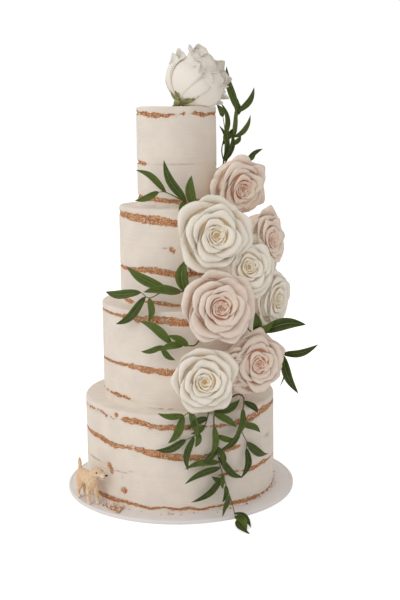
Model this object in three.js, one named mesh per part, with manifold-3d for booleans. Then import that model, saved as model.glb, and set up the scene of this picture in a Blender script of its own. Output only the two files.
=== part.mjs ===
// A tiered wedding cake on its round board, with a cascade of fresh roses and leafy sprigs.
// Millimetres, +Z up. The origin is the middle of the board's underside and the front is -Y.
// An azimuth is measured from the front, in degrees, and grows towards +X, the right.

import * as THREE from "three";
import { mergeVertices } from "three/addons/utils/BufferGeometryUtils.js";
import Module from "manifold-3d";

const INCH = 25.4;
const GAP = 0.3;

// The board is a thin drum with a rounded edge.
const BOARD_RADIUS = 155.7;
const BOARD_THICKNESS = 5;
const BOARD_EDGE_RADIUS = 2;
const BOARD_SEGMENTS = 24;

// Four tiers, from the bottom up, each baked in a round tin and coated thinly.
const TIER_HEIGHT = 5 * INCH;
const TIN_RADII = [5 * INCH, 4 * INCH, 3 * INCH, 2 * INCH];
const ICING_COAT = 1.5;
const TOP_EDGE_RADII = [4, 1.5, 3, 2];
const TIER_SEGMENTS = [22, 18, 16, 14];

// Sponge that shows through the coat: the middle of each layer above its tier's base, and its thickness.
const SPONGE_LAYERS = [
  [[7, 5], [49, 4], [77, 7], [115, 9]],
  [[12, 4], [52, 5], [118, 7]],
  [[7, 5], [48, 7], [77, 4], [113, 10]],
  [[9, 5], [55, 5], [117, 7]],
];

// Each rose: the azimuth, radius and height of its head's middle, the head's width, and the azimuth and rise,
// in degrees, that it faces. The top rose is a less open cup, deeper by its own share of the others' depth.
// A head gives way to those above it here.
const ROSES = [
  { name: "rose_top", place: [66, 30, 547], width: 86, faces: [116, 44], depth: 1.3 },
  { name: "rose_8_white", place: [12.8, 130, 177], width: 84, faces: [8, 6] },
  { name: "rose_7_blush", place: [48.5, 127, 188], width: 84, faces: [25, 6] },
  { name: "rose_6_blush", place: [22, 126, 268], width: 92, faces: [17, 4] },
  { name: "rose_4_white", place: [45, 119, 312], width: 80, faces: [20, 8] },
  { name: "rose_2_white", place: [23.8, 108, 355], width: 95, faces: [13, 3] },
  { name: "rose_1_blush", place: [63, 88, 412], width: 82, faces: [26, -12] },
  { name: "rose_5_white", place: [66, 130, 267], width: 74, faces: [52, -4] },
  { name: "rose_3_blush", place: [64, 121, 344], width: 80, faces: [52, 2] },
  { name: "rose_9_blush", place: [33.6, 120, 186], width: 54, faces: [32, -5] },
];
const ROSE_PETALS = 5;
const ROSE_SEGMENTS = 10;
const ROSE_STEM_LENGTH = 75;

// Rows of a rose's surface from the middle of its face to the calyx: the radius and height in head radii,
// how far the petals lift the row as lobes, and the turn of those lobes in petals.
const ROSE_ROWS = [
  [0.15, 0.44, 0.02, 0.0],
  [0.27, 0.26, 0.0, 0.0],
  [0.5, 0.4, 0.05, 0.2],
  [0.6, 0.16, 0.0, 0.2],
  [0.9, 0.24, 0.07, 0.6],
  [0.94, 0.02, 0.05, 0.6],
  [0.84, -0.3, 0.03, 0.6],
  [0.52, -0.58, 0.0, 0.0],
  [0.16, -0.68, 0.0, 0.0],
];
const ROSE_FACE_HEIGHT = 0.4;
const ROSE_CALYX_DEPTH = 0.74;
const ROSE_STEM_RADIUS = 0.07;

// A leaf lifted further than this lies flat, with its face up, and any other faces outward.
const LYING_LIFT = 65;
const STEM_RADIUS = 1.1;
const STEM_SIDES = 4;
const LEAF_THICKNESS = 1;
const LEAF_ROOT_OVERLAP = 0.5;
// Places along a leaf, as shares of its length, with its breadth there as a share of its width.
const LEAF_STATIONS = [[0.3, 0.95], [0.62, 0.85]];

// Each sprig is tucked into the cake behind a rose. Its stem is given as azimuth, height and radius about the
// cake's axis, and its leaves as the place along the stem from 0 to 1, the bearing from straight up across
// the wall, the lift off the wall, the length and the width.
const SPRIGS = [
  {
    name: "sprig_upper_left",
    stem: [[30, 388, 62], [14, 390, 82], [3, 398, 80], [-11, 407, 76], [-18, 407, 74]],
    leaves: [[0.87, 304, -12, 51, 9], [1, 251, 11, 33, 9], [0.5, 334, -10, 60, 12],
      [0.36, 358, -6, 38, 13], [0.52, 202, 20, 20, 8]],
  },
  {
    name: "sprig_middle_left",
    stem: [[14, 280, 79], [5, 285, 104], [-8, 288, 112], [-19, 278, 110], [-25, 284, 110]],
    leaves: [[0.58, 298, -14, 62, 14], [1, 267, -8, 57, 12], [0.38, 269, -4, 48, 13],
      [0.92, 229, -4, 60, 12], [0.86, 183, 4, 31, 9], [0.34, 4, -6, 40, 17]],
  },
  {
    name: "sprig_lower_left",
    stem: [[14, 222, 104], [8, 219, 118], [-3, 223, 118], [-9, 219, 116], [-11, 216, 115]],
    leaves: [[0.75, 303, -9, 49, 12], [0.94, 256, 1, 30, 8], [0.5, 258, 3, 32, 10], [0.4, 298, 2, 29, 10],
      [1, 131, 4, 23, 8]],
  },
  {
    name: "sprig_back_tall",
    stem: [[100, 430, 53], [107, 441, 69], [105, 460, 76], [104, 488, 82], [104, 506, 85]],
    leaves: [[0.98, 15, -20, 33, 9], [0.96, 40, 18, 22, 8], [0.62, 340, 34, 37, 10],
      [0.64, 333, -3, 44, 10], [0.76, 195, -40, 29, 9], [0.5, 24, 44, 22, 7], [1, 359, 35, 40, 9]],
  },
  {
    name: "sprig_back_near",
    stem: [[92, 428, 53], [95, 440, 62], [95, 457, 60], [94, 480, 64], [95, 500, 62]],
    leaves: [[1, 3, -26, 18, 8], [0.25, 355, -6, 46, 11], [0.6, 6, -3, 50, 9], [0.22, 344, 15, 42, 10]],
  },
  {
    name: "sprig_back_low",
    stem: [[97, 410, 54], [98, 424, 76], [97, 443, 93]],
    leaves: [[1, 350, 57, 27, 7], [0.96, 30, 45, 23, 7], [0.77, 329, 0, 20, 7]],
  },
  {
    name: "sprig_right_long",
    stem: [[58, 230, 104], [52, 227, 118], [54, 228, 132]],
    leaves: [[1, 76, 53, 57, 17], [0.74, 346, 8, 27, 12], [0.66, 32, 54, 31, 11]],
  },
  {
    name: "sprig_right_low",
    stem: [[68, 188, 104], [68, 190, 134], [68, 192, 146]],
    leaves: [[1, 20, 71, 49, 11], [0.98, 182, 25, 56, 13], [0.94, 186, 2, 42, 6]],
  },
  {
    name: "sprig_trail_middle",
    stem: [[24, 138, 104], [21, 140, 122], [19, 135, 132], [18, 124, 135], [19, 104, 136],
      [20, 87, 135], [21, 70, 135], [23, 52, 136], [25, 33, 139], [26, 18, 146], [25, 9, 157],
      [24, 4, 168]],
    leaves: [[0.17, 67, 6, 36, 12], [0.18, 126, 18, 33, 10], [0.27, 190, 2, 40, 9], [0.34, 104, 4, 31, 8],
      [0.42, 167, 5, 31, 8], [0.44, 221, -2, 29, 9], [0.5, 133, -4, 50, 10], [0.54, 264, -6, 45, 9],
      [0.58, 249, -6, 50, 9], [0.63, 181, 7, 20, 7], [0.68, 292, 0, 19, 8], [0.65, 235, -4, 52, 10],
      [0.72, 200, 11, 22, 7], [0.8, 238, 42, 36, 9], [0.93, 150, 78, 36, 10], [0.96, 215, 80, 36, 10],
      [1, 200, 85, 38, 9]],
  },
  {
    name: "sprig_trail_left",
    stem: [[17, 138, 104], [16, 138, 124], [15, 130, 132], [11, 112, 134], [3, 103, 134]],
    leaves: [[0.45, 249, 13, 31, 9], [0.58, 243, 4, 21, 7], [0.86, 190, 2, 45, 9], [0.75, 202, 13, 18, 8],
      [1, 251, -4, 41, 10]],
  },
  {
    name: "sprig_trail_short",
    stem: [[8, 142, 104], [7, 144, 126], [5, 139, 133], [2, 134, 134]],
    leaves: [[1, 277, 0, 33, 9], [1, 211, 1, 41, 11], [0.75, 168, 7, 37, 10]],
  },
  {
    name: "sprig_trail_right",
    stem: [[40, 142, 104], [38, 150, 122], [37, 148, 134], [35, 134, 138], [34, 121, 136], [35, 106, 135],
      [39, 90, 134], [39, 81, 134]],
    leaves: [[0.35, 133, 8, 28, 9], [0.44, 209, 6, 44, 11], [0.64, 118, -2, 39, 9], [0.71, 240, 3, 42, 9],
      [0.92, 122, -4, 52, 12], [1, 196, 3, 39, 10]],
  },
];

// The dog stands on the board. Each round part of it: the middle along its own length, to its left and up,
// then the half sizes in the same order. It looks along its own length, and its head turns to its left.
const DOG_PLACE = [-123.5, -77];
const DOG_HEADING = 30;
const DOG_BALL_SEGMENTS = [6, 4];
const DOG_PARTS = [
  [[-13, 0, 28], [10, 9, 12]],
  [[0, 0, 31], [16, 8, 10.5]],
  [[14, 0, 30], [9.5, 8, 13]],
  [[19, 1, 40], [6.5, 6, 9]],
  [[26, 4, 43], [8.5, 7, 7.5]],
  [[34, 8, 40.5], [6, 4, 4]],
  [[18, 4.5, 12], [3.2, 3, 14]],
  [[13, -4.5, 12], [3.2, 3, 14]],
  [[-17, 5, 12], [4, 3.4, 14]],
  [[-15, -5, 12], [4, 3.4, 14]],
  [[-22, 0, 38], [5, 3.4, 9]],
  [[-20, 0, 47], [3.6, 3, 7]],
];

const MATERIALS = {
  icing: new THREE.MeshStandardMaterial({ color: 0xe9dfd0, roughness: 0.55 }),
  sponge: new THREE.MeshStandardMaterial({ color: 0xb9783f, roughness: 0.9 }),
  board: new THREE.MeshStandardMaterial({ color: 0xe6e5ea, roughness: 0.4 }),
  white: new THREE.MeshStandardMaterial({ color: 0xf2ede2, roughness: 0.6 }),
  blush: new THREE.MeshStandardMaterial({ color: 0xecd6c8, roughness: 0.6 }),
  leaf: new THREE.MeshStandardMaterial({ color: 0x3c5a30, roughness: 0.45 }),
  dog: new THREE.MeshStandardMaterial({ color: 0xd9b48c, roughness: 0.6 }),
};

const wasm = await Module();
wasm.setup();

function solidFrom(geometry) {
  geometry.deleteAttribute("normal");
  geometry.deleteAttribute("uv");
  const merged = mergeVertices(geometry, 1e-4);
  const vertProperties = new Float32Array(merged.attributes.position.array);
  const triVerts = new Uint32Array(merged.index.array);
  return new wasm.Manifold(new wasm.Mesh({ numProp: 3, vertProperties, triVerts }));
}

function geometryFrom(solid) {
  const mesh = solid.getMesh();
  const geometry = new THREE.BufferGeometry();
  const positions = new Float32Array(mesh.vertProperties);
  geometry.setAttribute("position", new THREE.BufferAttribute(positions, 3));
  geometry.setIndex(new THREE.BufferAttribute(new Uint32Array(mesh.triVerts), 1));
  geometry.computeVertexNormals();
  return geometry;
}

function largestPiece(solid) {
  return solid.decompose().sort((a, b) => b.volume() - a.volume())[0];
}

function radians(degrees) {
  return THREE.MathUtils.degToRad(degrees);
}

function outward(azimuth, rise = 0) {
  const turn = radians(azimuth);
  const lift = radians(rise);
  const reach = Math.cos(lift);
  return new THREE.Vector3(Math.sin(turn) * reach, -Math.cos(turn) * reach, Math.sin(lift));
}

function aroundAxis([azimuth, height, radius]) {
  return outward(azimuth).multiplyScalar(radius).setZ(height);
}

// A solid of revolution about the upright axis, from a profile of radii and heights that starts at the top.
function turned(profile, segments) {
  const points = profile.map(([radius, height]) => new THREE.Vector2(radius, height));
  const geometry = new THREE.LatheGeometry(points, segments);
  const position = geometry.attributes.position;
  for (let i = 0; i < position.count; i++) {
    position.setXYZ(i, position.getX(i), -position.getZ(i), position.getY(i));
  }
  return geometry;
}

// A flat layer whose upper edge is rounded over by edgeRadius.
function layer(bottom, top, radius, segments, edgeRadius = 0) {
  const edge = [];
  const steps = edgeRadius > 0 ? 2 : 0;
  for (let i = 0; i <= steps; i++) {
    const turn = (Math.PI / 2) * (steps ? i / steps : 0);
    edge.push([radius - edgeRadius * (1 - Math.sin(turn)), top - edgeRadius * (1 - Math.cos(turn))]);
  }
  return turned([[0, bottom], [radius, bottom], ...edge.reverse(), [0, top]], segments);
}

const cake = new THREE.Group();
cake.name = "wedding_cake";

function addPiece(name, geometry, material) {
  const mesh = new THREE.Mesh(geometry, material);
  mesh.name = name;
  cake.add(mesh);
}

// The board.
function boardGeometry(margin = 0) {
  const radius = BOARD_RADIUS + margin;
  const edge = BOARD_EDGE_RADIUS * Math.SQRT1_2;
  const inset = BOARD_EDGE_RADIUS - edge;
  const top = BOARD_THICKNESS + margin;
  const profile = [
    [0, -margin],
    [radius - BOARD_EDGE_RADIUS, -margin],
    [radius, BOARD_EDGE_RADIUS - margin],
    [radius, top - BOARD_EDGE_RADIUS],
    [radius - inset, top - inset],
    [radius - BOARD_EDGE_RADIUS, top],
    [0, top],
  ];
  return turned(profile, BOARD_SEGMENTS);
}
addPiece("cake_board", boardGeometry(), MATERIALS.board);

// The tiers: icing and sponge layers run right through, stacked face to face.
TIN_RADII.forEach((tinRadius, tier) => {
  const base = BOARD_THICKNESS + tier * TIER_HEIGHT;
  const icingRadius = tinRadius + ICING_COAT;
  const segments = TIER_SEGMENTS[tier];
  const tierName = `tier_${tier + 1}`;
  let from = base;
  SPONGE_LAYERS[tier].forEach(([middle, thickness], index) => {
    const under = base + middle - thickness / 2;
    const over = base + middle + thickness / 2;
    const icing = layer(from, under, icingRadius, segments);
    const sponge = layer(under, over, tinRadius, segments);
    addPiece(`${tierName}_icing_${index + 1}`, icing, MATERIALS.icing);
    addPiece(`${tierName}_sponge_${index + 1}`, sponge, MATERIALS.sponge);
    from = over;
  });
  const last = SPONGE_LAYERS[tier].length + 1;
  const top = layer(from, base + TIER_HEIGHT, icingRadius, segments, TOP_EDGE_RADII[tier]);
  addPiece(`${tierName}_icing_${last}`, top, MATERIALS.icing);
});

// What the flowers, sprigs and dog are cut by, so that each keeps a small gap to it.
let taken = solidFrom(boardGeometry(GAP));
TIN_RADII.forEach((tinRadius, tier) => {
  const base = BOARD_THICKNESS + tier * TIER_HEIGHT;
  const radius = tinRadius + ICING_COAT + GAP;
  const top = base + TIER_HEIGHT + GAP;
  const body = layer(base - GAP, top, radius, TIER_SEGMENTS[tier], TOP_EDGE_RADII[tier]);
  taken = taken.add(solidFrom(body));
});

// A closed surface from rows of equally many points, with a pole before the first row and after the last.
function closedRows(rows, firstPole, lastPole) {
  const count = rows[0].length;
  const points = [firstPole, ...rows.flat(), lastPole];
  const last = points.length - 1;
  const index = [];
  for (let i = 0; i < count; i++) {
    const next = (i + 1) % count;
    index.push(0, 1 + i, 1 + next);
    for (let row = 0; row < rows.length - 1; row++) {
      const here = 1 + row * count;
      const below = here + count;
      index.push(here + i, below + i, below + next, here + i, below + next, here + next);
    }
    index.push(last - count + i, last, last - count + next);
  }
  const geometry = new THREE.BufferGeometry().setFromPoints(points);
  geometry.setIndex(index);
  return geometry;
}

// A rose head with its stem: whorls of petals round a bud, opening along its own +Z.
function roseSolid({ place, width, faces, depth = 1 }, swell = 0) {
  const headRadius = width / 2 + swell;
  const rows = ROSE_ROWS.map(([radius, height, lobe, turn]) => {
    const row = [];
    for (let i = 0; i < ROSE_SEGMENTS; i++) {
      const angle = (2 * Math.PI * i) / ROSE_SEGMENTS;
      const petal = Math.cos(ROSE_PETALS * angle - 2 * Math.PI * turn);
      const reach = (radius + lobe * petal) * headRadius;
      const rise = height * depth * headRadius;
      row.push(new THREE.Vector3(Math.cos(angle) * reach, Math.sin(angle) * reach, rise));
    }
    return row;
  });
  const stemRadius = ROSE_STEM_RADIUS * headRadius;
  for (const below of [ROSE_CALYX_DEPTH * depth * headRadius, ROSE_STEM_LENGTH]) {
    const ring = rows[0].map((_, i) => {
      const angle = (2 * Math.PI * i) / ROSE_SEGMENTS;
      return new THREE.Vector3(Math.cos(angle) * stemRadius, Math.sin(angle) * stemRadius, -below);
    });
    rows.push(ring);
  }
  const face = new THREE.Vector3(0, 0, ROSE_FACE_HEIGHT * depth * headRadius);
  const stemEnd = new THREE.Vector3(0, 0, -ROSE_STEM_LENGTH);
  const geometry = closedRows(rows, face, stemEnd);
  const turn = new THREE.Quaternion().setFromUnitVectors(new THREE.Vector3(0, 0, 1), outward(...faces));
  geometry.applyQuaternion(turn);
  const middle = aroundAxis([place[0], place[2], place[1]]);
  geometry.translate(middle.x, middle.y, middle.z);
  return solidFrom(geometry);
}

// A leaf: a thin pointed blade, rhombic in section, from its root along direction, face turned to normal.
function leafSolid(root, direction, normal, length, width, margin) {
  const side = new THREE.Vector3().crossVectors(direction, normal).normalize();
  const face = new THREE.Vector3().crossVectors(side, direction).normalize();
  const along = (share) => root.clone().addScaledVector(direction, share * length);
  const rows = LEAF_STATIONS.map(([share, broad]) => {
    const half = (width / 2) * broad + margin;
    const thick = LEAF_THICKNESS / 2 + margin;
    const middle = along(share);
    return [
      middle.clone().addScaledVector(side, half),
      middle.clone().addScaledVector(face, thick),
      middle.clone().addScaledVector(side, -half),
      middle.clone().addScaledVector(face, -thick),
    ];
  });
  const rootPole = along(0).addScaledVector(direction, -LEAF_ROOT_OVERLAP - margin);
  const tipPole = along(1).addScaledVector(direction, margin);
  return solidFrom(closedRows(rows, rootPole, tipPole));
}

// A sprig: a thin stem through its places with its leaves, all grown by margin.
function sprigSolid({ stem, leaves }, margin = 0) {
  const curve = new THREE.CatmullRomCurve3(stem.map(aroundAxis));
  const section = new THREE.Shape();
  const radius = STEM_RADIUS + margin;
  for (let i = 0; i < STEM_SIDES; i++) {
    const angle = (2 * Math.PI * i) / STEM_SIDES;
    const draw = i === 0 ? "moveTo" : "lineTo";
    section[draw](Math.cos(angle) * radius, Math.sin(angle) * radius);
  }
  const steps = 2 * (stem.length - 1);
  const tube = new THREE.ExtrudeGeometry(section, { steps, extrudePath: curve, bevelEnabled: false });
  let solid = solidFrom(tube);
  for (const [at, bearing, lift, length, width] of leaves) {
    const root = curve.getPointAt(at);
    const azimuth = THREE.MathUtils.radToDeg(Math.atan2(root.x, -root.y));
    const normal = outward(azimuth);
    const across = outward(azimuth + 90);
    const rise = Math.cos(radians(lift));
    const direction = new THREE.Vector3(0, 0, Math.cos(radians(bearing)) * rise)
      .addScaledVector(across, Math.sin(radians(bearing)) * rise)
      .addScaledVector(normal, Math.sin(radians(lift)));
    const facing = lift > LYING_LIFT ? new THREE.Vector3(0, 0, 1) : normal;
    solid = solid.add(leafSolid(root, direction, facing, length, width, margin));
  }
  return solid;
}

// The dog: round parts joined into one body, flat where it stands on the board.
function dogSolid(margin = 0) {
  let solid = null;
  for (const [middle, halves] of DOG_PARTS) {
    const ball = new THREE.SphereGeometry(1, ...DOG_BALL_SEGMENTS);
    ball.rotateX(Math.PI / 2);
    ball.scale(halves[0] + margin, halves[1] + margin, halves[2] + margin);
    ball.translate(middle[0], middle[1], middle[2] + BOARD_THICKNESS);
    ball.rotateZ(radians(DOG_HEADING - 90));
    ball.translate(DOG_PLACE[0], DOG_PLACE[1], 0);
    const part = solidFrom(ball);
    solid = solid ? solid.add(part) : part;
  }
  return solid;
}

const dog = largestPiece(dogSolid().subtract(taken));
addPiece("dog_figurine", geometryFrom(dog), MATERIALS.dog);
taken = taken.add(dogSolid(GAP));

let takenBySprigs = sprigSolid(SPRIGS[0], GAP);
for (const sprig of SPRIGS) {
  const cutter = sprig === SPRIGS[0] ? taken : taken.add(takenBySprigs);
  addPiece(sprig.name, geometryFrom(largestPiece(sprigSolid(sprig).subtract(cutter))), MATERIALS.leaf);
  takenBySprigs = takenBySprigs.add(sprigSolid(sprig, GAP));
}
taken = taken.add(takenBySprigs);

for (const rose of ROSES) {
  const material = rose.name.endsWith("blush") ? MATERIALS.blush : MATERIALS.white;
  addPiece(rose.name, geometryFrom(largestPiece(roseSolid(rose).subtract(taken))), material);
  taken = taken.add(roseSolid(rose)).add(roseSolid(rose, 2 * GAP));
}

export default cake;
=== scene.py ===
import math

import bpy
import numpy as np
from mathutils import Matrix, Vector


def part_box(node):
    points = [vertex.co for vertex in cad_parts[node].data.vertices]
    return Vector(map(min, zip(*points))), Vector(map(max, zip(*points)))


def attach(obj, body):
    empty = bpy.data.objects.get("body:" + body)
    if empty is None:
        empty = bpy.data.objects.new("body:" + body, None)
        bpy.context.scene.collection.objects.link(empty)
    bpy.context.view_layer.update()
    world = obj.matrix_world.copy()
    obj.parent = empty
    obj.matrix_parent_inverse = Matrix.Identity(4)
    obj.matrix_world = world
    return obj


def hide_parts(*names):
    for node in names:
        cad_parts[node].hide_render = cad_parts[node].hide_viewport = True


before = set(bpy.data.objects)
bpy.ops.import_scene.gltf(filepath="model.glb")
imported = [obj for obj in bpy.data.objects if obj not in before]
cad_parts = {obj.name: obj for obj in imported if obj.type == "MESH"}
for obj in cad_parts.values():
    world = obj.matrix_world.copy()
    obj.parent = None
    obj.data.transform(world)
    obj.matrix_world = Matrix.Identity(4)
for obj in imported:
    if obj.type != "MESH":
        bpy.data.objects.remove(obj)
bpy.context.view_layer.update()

MM = 0.001


# The studio: a pale floor that runs out of view, even white light from all round that is a little weaker
# from the right, and one wide soft lamp high on the left in front. The camera looks down a little.
PHOTO_HEIGHT = 600
FOCAL_PIXELS = 977.3
SENSOR_WIDTH = 36
CAMERA_PLACE = (0, -1.3045, 0.4849)
CAMERA_LOOKS_DOWN = math.radians(9.938)
CAMERA_LOOKS_RIGHT = math.radians(1.267)
CAMERA_ROLL = math.radians(-0.565)

turned_right = Matrix.Rotation(-CAMERA_LOOKS_RIGHT, 4, "Z")
turned_down = Matrix.Rotation(math.pi / 2 - CAMERA_LOOKS_DOWN, 4, "X")
rolled = Matrix.Rotation(CAMERA_ROLL, 4, "Z")
bpy.ops.object.camera_add()
camera = bpy.context.object
camera.matrix_world = Matrix.Translation(CAMERA_PLACE) @ turned_right @ turned_down @ rolled
camera.data.sensor_width = SENSOR_WIDTH
camera.data.lens = FOCAL_PIXELS / PHOTO_HEIGHT * SENSOR_WIDTH
bpy.context.scene.camera = camera
bpy.context.scene.view_settings.view_transform = "Standard"


class Value:
    """An output socket of a node tree. Arithmetic on it adds Math nodes."""

    def __init__(self, tree, socket=None):
        self.tree = tree
        self.socket = socket

    def node(self, kind, settings=(), inputs=(), output=0):
        """Adds a node with its settings, then its inputs' values or links, and gives one of its outputs."""
        made = self.tree.nodes.new("ShaderNode" + kind)
        for name, setting in dict(settings).items():
            setattr(made, name, setting)
        for name, given in dict(inputs).items():
            if isinstance(given, Value):
                self.tree.links.new(given.socket, made.inputs[name])
            else:
                made.inputs[name].default_value = given
        return Value(self.tree, made.outputs[output])

    def math(self, operation, *terms):
        return self.node("Math", {"operation": operation}, enumerate(terms))

    def __add__(self, other):
        return self.math("ADD", self, other)

    def __sub__(self, other):
        return self.math("SUBTRACT", self, other)

    def __mul__(self, other):
        return self.math("MULTIPLY", self, other)

    def __pow__(self, other):
        return self.math("POWER", self, other)

    def __rsub__(self, other):
        return self.math("SUBTRACT", other, self)

    __radd__ = __add__
    __rmul__ = __mul__

    def sine(self):
        return self.math("SINE", self)

    def absolute(self):
        return self.math("ABSOLUTE", self)

    def within(self, low, high):
        """0 where this is low or less, 1 where it is high or more, and a smooth step between."""
        ends = {"Value": self, "From Min": low, "From Max": high}
        return self.node("MapRange", {"interpolation_type": "SMOOTHSTEP"}, ends)

    def mixed(self, first, second):
        """The first colour where this is 0 and the second where it is 1."""
        first, second = (end if isinstance(end, Value) else (*end, 1) for end in (first, second))
        return self.node("Mix", {"data_type": "RGBA"}, {0: self, 6: first, 7: second}, output=2)

    def feeds(self, socket):
        shader = self.tree.nodes["Principled BSDF"]
        self.tree.links.new(self.socket, shader.inputs[socket])


def finish_of(name, **sockets):
    """A new material with its shader's plain sockets set, and a start for the values of its nodes."""
    material = bpy.data.materials.new(name)
    material.use_nodes = True
    shader = material.node_tree.nodes["Principled BSDF"]
    for socket, setting in sockets.items():
        shader.inputs[socket.replace("_", " ")].default_value = setting
    return material, Value(material.node_tree)


def noise(start, size, detail=3, roughness=0.5, stretch=(1, 1, 1)):
    """Noise about 0.5 with lumps of that size, in metres, and longer along an axis that is stretched."""
    place = start.node("TexCoord", output="Object")
    scale = tuple(1 / (size * longer) for longer in stretch)
    scaled = start.node("VectorMath", {"operation": "MULTIPLY"}, {0: place, 1: scale})
    fields = {"Vector": scaled, "Scale": 1, "Detail": detail, "Roughness": roughness}
    return start.node("TexNoise", inputs=fields)


def bumped(height, distance):
    """The surface's normal for a relief whose height 1 stands that far out."""
    return height.node("Bump", inputs={"Height": height, "Distance": distance, "Strength": 1.0})


FLOOR_SIZE = 30
FLOOR_GLOW = 0.55
bpy.ops.mesh.primitive_plane_add(size=FLOOR_SIZE)
floor = bpy.context.object
floor.name = "studio_floor"
pale, start = finish_of("pale_floor", Roughness=0.9, Emission_Strength=FLOOR_GLOW)
noise(start, 0.5).mixed((0.86, 0.86, 0.86), (0.9, 0.9, 0.9)).feeds("Base Color")
seen_directly = start.node("LightPath", output="Is Camera Ray")
seen_directly.mixed((0.15, 0.15, 0.15), (1, 1, 1)).feeds("Emission Color")
floor.data.materials.append(pale)

LIGHT_ALL_ROUND = 0.70
LESS_FROM_RIGHT = 0.13
WHITE_SEEN = 1.02
world = bpy.data.worlds.new("white_room")
world.use_nodes = True
bpy.context.scene.world = world
start = Value(world.node_tree)
seen_directly = start.node("LightPath", output="Is Camera Ray")
background = world.node_tree.nodes["Background"]
warm_light = seen_directly.mixed((1, 0.965, 0.92), (1, 1, 1))
world.node_tree.links.new(warm_light.socket, background.inputs["Color"])
direction = start.node("TexCoord", output="Generated")
from_right = start.node("SeparateXYZ", inputs={"Vector": direction}, output="X")
room_light = LIGHT_ALL_ROUND - LESS_FROM_RIGHT * from_right
strength = room_light + seen_directly * (WHITE_SEEN - room_light)
world.node_tree.links.new(strength.socket, background.inputs["Strength"])

LAMP_PLACE = Vector((-2.4, -1.9, 2.5))
LAMP_AIM = Vector((0, 0, 0.3))
LAMP_SIZE = 2
LAMP_POWER = 26
LAMP_COLOUR = (0.98, 0.985, 1.0)
bpy.ops.object.light_add(type="AREA", location=LAMP_PLACE)
lamp = bpy.context.object
lamp.rotation_euler = (LAMP_AIM - LAMP_PLACE).to_track_quat("-Z", "Y").to_euler()
lamp.data.size = LAMP_SIZE
lamp.data.energy = LAMP_POWER
lamp.data.color = LAMP_COLOUR


# The cake board: a round drum of thick card under smooth white glazed paper, with its edge turned over and
# pressed round. The cake is built up on it, so its top lies a little lower inside the rolled edge.
low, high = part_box("cake_board")
BOARD_RADIUS = -low.y
BOARD_TOP = high.z
BOARD_RIM = 3.2 * MM
BOARD_DIP = 0.5 * MM
DIP_SLOPE = 0.6 * MM
BOARD_SIDES = 192
BOARD_RINGS = 6
EDGE_ROLL = 1.3 * MM
EDGE_ANGLE = math.radians(50)
BOARD_CREASE = math.radians(35)


def select_faces(piece, wanted):
    """In edit mode, selects the faces of a piece whose polygon passes the test."""
    bpy.ops.object.mode_set(mode="OBJECT")
    for part in (piece.data.vertices, piece.data.edges):
        part.foreach_set("select", np.zeros(len(part), bool))
    for face in piece.data.polygons:
        face.select = wanted(face)
    bpy.ops.object.mode_set(mode="EDIT")
    bpy.ops.mesh.select_mode(type="FACE")


def settled(piece, slot, *nodes):
    """A finished piece is part of the cake and stands for these nodes; its slot is not used."""
    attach(piece, "root")
    if nodes:
        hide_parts(*nodes)


bpy.ops.object.select_all(action="DESELECT")
bpy.ops.mesh.primitive_cylinder_add(
    vertices=BOARD_SIDES, radius=BOARD_RADIUS, depth=BOARD_TOP, location=(0, 0, BOARD_TOP / 2)
)
board = bpy.context.object
board.name = "cake_board_drum"
bpy.ops.object.transform_apply(location=True, rotation=True, scale=True)
select_faces(board, lambda face: face.normal.z > 0.9)
bpy.ops.mesh.inset(thickness=BOARD_RIM)
bpy.ops.mesh.inset(thickness=DIP_SLOPE)
bpy.ops.transform.translate(value=(0, 0, -BOARD_DIP))
for _ in range(BOARD_RINGS):
    bpy.ops.mesh.inset(thickness=BOARD_RADIUS / (BOARD_RINGS + 2))
bpy.ops.object.mode_set(mode="OBJECT")
bevel = board.modifiers.new("rolled_edge", "BEVEL")
bevel.width = EDGE_ROLL
bevel.segments = 4
bevel.limit_method = "ANGLE"
bevel.angle_limit = EDGE_ANGLE
bpy.ops.object.modifier_apply(modifier=bevel.name)
bpy.ops.object.shade_smooth_by_angle(angle=BOARD_CREASE)

glazed, start = finish_of("glazed_white_paper", Coat_Roughness=0.25, Specular_IOR_Level=0.4)
mottle = noise(start, 22 * MM, detail=4)
mottle.mixed((0.80, 0.765, 0.765), (0.86, 0.825, 0.815)).feeds("Base Color")
(0.34 + 0.16 * noise(start, 9 * MM)).feeds("Roughness")
bumped(noise(start, 1.4 * MM, detail=2), 0.12 * MM).feeds("Normal")
board.data.materials.append(glazed)
settled(board, "board", "cake_board")


# The sponge: each tier is a round stack of golden sponge from one tin, trimmed square. Its baked brown side
# shows as crumb where the icing was scraped away. All its layers are one core here, close under the icing.
TIER_NAMES = ["tier_1", "tier_2", "tier_3", "tier_4"]
ICING_COAT = 1.5 * MM
SPONGE_ROWS = 58
SPONGE_FOOT = 0.5 * MM
ICING_ON_TOP = 4 * MM
CRUMB_WIDTH = 2 * MM
CRUMB_CREASE = math.radians(50)


def tier_nodes(tier, kind):
    return sorted(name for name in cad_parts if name.startswith(f"{tier}_{kind}_"))


def tier_size(tier):
    """The outer radius, the base and the top of a tier."""
    icing = tier_nodes(tier, "icing")
    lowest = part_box(icing[0])[0]
    return -lowest.y, lowest.z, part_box(icing[-1])[1].z


def lumps(points, size, seed=0):
    """Smooth noise from -1 to 1 at rows of x, y, z, with lumps of that size."""
    cell = np.asarray(points) / size + 1000
    corner = np.floor(cell).astype(np.int64)
    share = cell - corner
    share = share * share * (3 - 2 * share)
    total = np.zeros(len(cell))
    for step in np.ndindex(2, 2, 2):
        x, y, z = (corner + step).T
        key = (x * 73856093 ^ y * 19349663 ^ z * 83492791 ^ (seed + 1) * 2654435761) & 0xFFFFFFFF
        key = ((key ^ key >> 15) * 2246822519) & 0xFFFFFFFF
        key = ((key ^ key >> 13) * 3266489917) & 0xFFFFFFFF
        weight = np.prod(np.where(step, share, 1 - share), axis=1)
        total += weight * (key / 0xFFFFFFFF)
    return 2 * total - 1


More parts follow.
